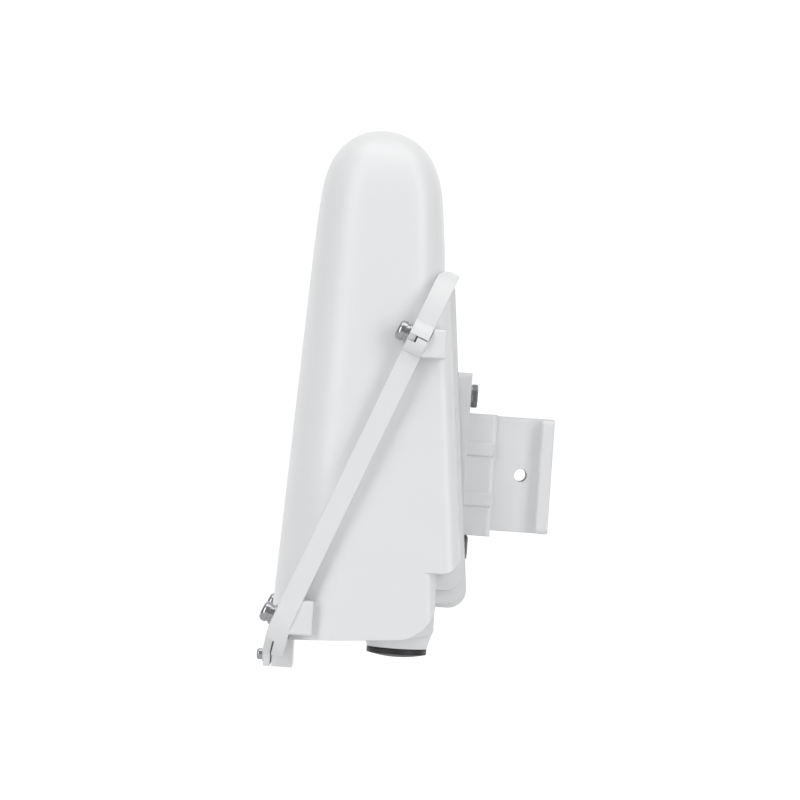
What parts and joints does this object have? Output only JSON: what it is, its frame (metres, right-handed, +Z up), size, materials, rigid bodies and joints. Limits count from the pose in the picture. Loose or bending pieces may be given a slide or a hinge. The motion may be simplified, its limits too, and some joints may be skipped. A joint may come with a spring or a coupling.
{
  "type": "enclosed yagi antenna",
  "caption": "Upright dome-topped outdoor directional antenna in a white two-shell housing, on a ribbed wall bracket, with a screw cap over its cable port.",
  "frame": {"origin": "centre of the wall plate's rear face, where the bracket meets the wall", "axes": "+X out of the wall plate into the wall, +Z up along the housing, +Y across the width"},
  "size_m": [0.1399, 0.106, 0.2697],
  "materials": {
    "radome": "satin moulded white, UV-stable plastic",
    "rear_housing": "satin moulded white, UV-stable plastic",
    "flange_gasket": "matt silicone",
    "flange_screws": "polished stainless",
    "spring_washers": "bright stainless",
    "flat_washers": "bright stainless",
    "flange_inserts": "machined",
    "foot_screw": "bright stainless",
    "foot_insert": "machined",
    "port_cap": "matt black moulded plastic",
    "cap_ring": "matt nitrile",
    "rf_connector": "gold-plated brass",
    "connector_nut": "plated",
    "wall_bracket": "powder coated die casting",
    "bracket_bolts": "stainless",
    "bracket_inserts": "machined",
    "boom": "mill finish",
    "boom_cap": "matt",
    "reflector": "drawn rod",
    "driven_element": "bright",
    "element_clips": "matt nylon",
    "dipole_clip": "matt nylon",
    "feed_board": "solder mask",
    "balun_can": "tinned steel",
    "feed_coax": "jacket",
    "director_1": "drawn rod",
    "director_2": "drawn rod",
    "director_3": "drawn rod",
    "director_4": "drawn rod",
    "director_5": "drawn rod",
    "director_6": "drawn rod"
  },
  "bodies": {
    "housing": {"radome": "radome", "rear_housing": "rear_housing", "flange_gasket": "flange_gasket", "flange_screws": "flange_screws", "spring_washers": "spring_washers", "flat_washers": "flat_washers", "flange_inserts": "flange_inserts", "foot_screw": "foot_screw", "foot_insert": "foot_insert", "rf_connector": "rf_connector", "connector_nut": "connector_nut", "wall_bracket": "wall_bracket", "bracket_bolts": "bracket_bolts", "bracket_inserts": "bracket_inserts", "boom": "boom", "boom_cap": "boom_cap", "reflector": "reflector", "driven_element": "driven_element", "element_clips": "element_clips", "dipole_clip": "dipole_clip", "feed_board": "feed_board", "balun_can": "balun_can", "feed_coax": "feed_coax", "director_1": "director_1", "director_2": "director_2", "director_3": "director_3", "director_4": "director_4", "director_5": "director_5", "director_6": "director_6"},
    "cap_carrier": {"cap_ring": "cap_ring"},
    "cap": {"port_cap": "port_cap"}
  },
  "joints": [
    {"name": "cap_lift", "type": "slide", "parent": "housing", "child": "cap_carrier", "axis": [0, 0, -1], "range_m": [0, 0.0106]},
    {"name": "cap_turn", "type": "hinge", "parent": "cap_carrier", "child": "cap", "pos_m": [-0.0704, 0, -0.0904], "axis": [0, 0, -1], "range_deg": [0, 270]}
  ],
  "couplings": [
    {"joint": "cap_lift", "follows": "cap_turn", "m_per_rad": 0.0022282}
  ]
}
